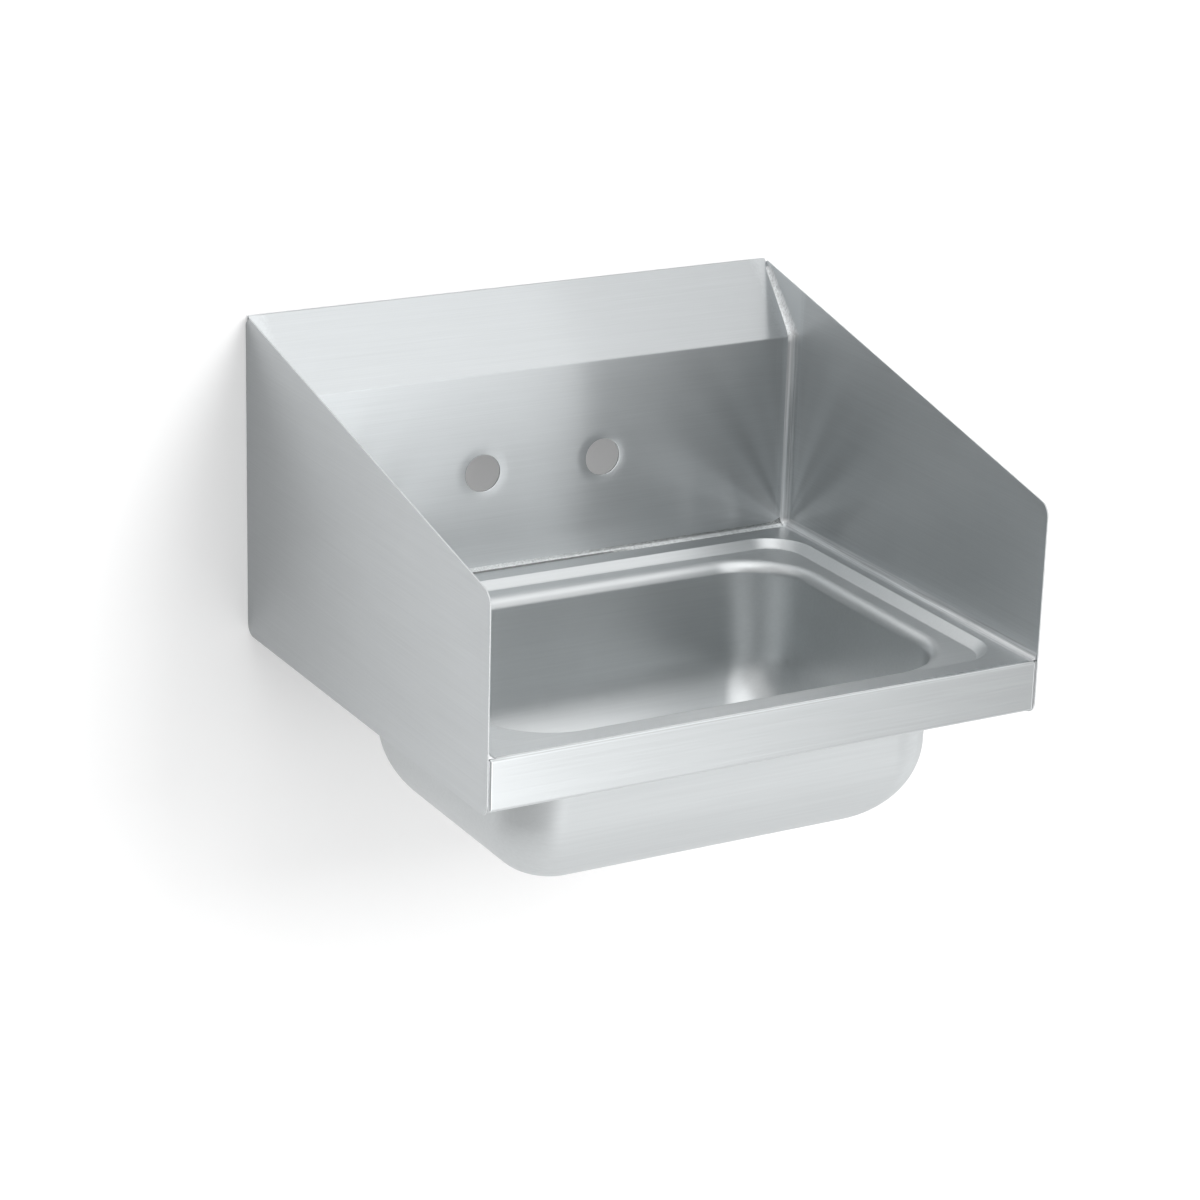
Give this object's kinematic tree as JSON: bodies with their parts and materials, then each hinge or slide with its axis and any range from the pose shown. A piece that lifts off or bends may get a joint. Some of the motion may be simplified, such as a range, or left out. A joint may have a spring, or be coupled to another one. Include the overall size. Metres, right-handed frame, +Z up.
{
  "type": "hand wash sink",
  "caption": "Wall-hung stainless steel hand wash sink: drawn bowl with stepped rim, sloped-top backsplash with faucet holes, welded side splashes, drain with lift-out strainer.",
  "frame": {"origin": "middle of the row of wall screws in the wall bracket, on the wall plane", "axes": "+X to the user's right, +Y into the wall, +Z up; the sink stands out from the wall towards -Y"},
  "size_m": [0.4382, 0.3873, 0.3681],
  "materials": {
    "stainless_brushed": "satin brushed sheet",
    "weld_polished": "ground and polished weld",
    "weld_rough": "rough ground weld",
    "stainless_bracket": "mill finish strip",
    "drain_metal": "bright turned and stamped metal",
    "gasket_rubber": "matte black rubber",
    "friction_fibre": "pressed fibre ring"
  },
  "bodies": {
    "sink": {"sink_bowl": "stainless_brushed", "backsplash": "stainless_brushed", "side_splash_left": "stainless_brushed", "side_splash_right": "stainless_brushed", "corner_weld_left": "weld_polished", "corner_weld_right": "weld_polished", "deck_weld_left": "weld_polished", "deck_weld_right": "weld_polished", "front_weld_left": "weld_polished", "front_weld_right": "weld_polished", "back_seam_weld": "weld_rough", "wall_bracket": "stainless_bracket", "drain_body": "drain_metal", "drain_gasket": "gasket_rubber", "drain_friction_ring": "friction_fibre", "drain_locknut": "drain_metal"},
    "strainer": {"strainer_basket": "drain_metal", "strainer_post": "drain_metal", "strainer_stopper": "gasket_rubber", "strainer_stop_nut": "drain_metal"}
  },
  "joints": [
    {"name": "strainer_lift", "type": "slide", "parent": "sink", "child": "strainer", "axis": [0, 0, 1], "range_m": [0, 0.06]}
  ]
}
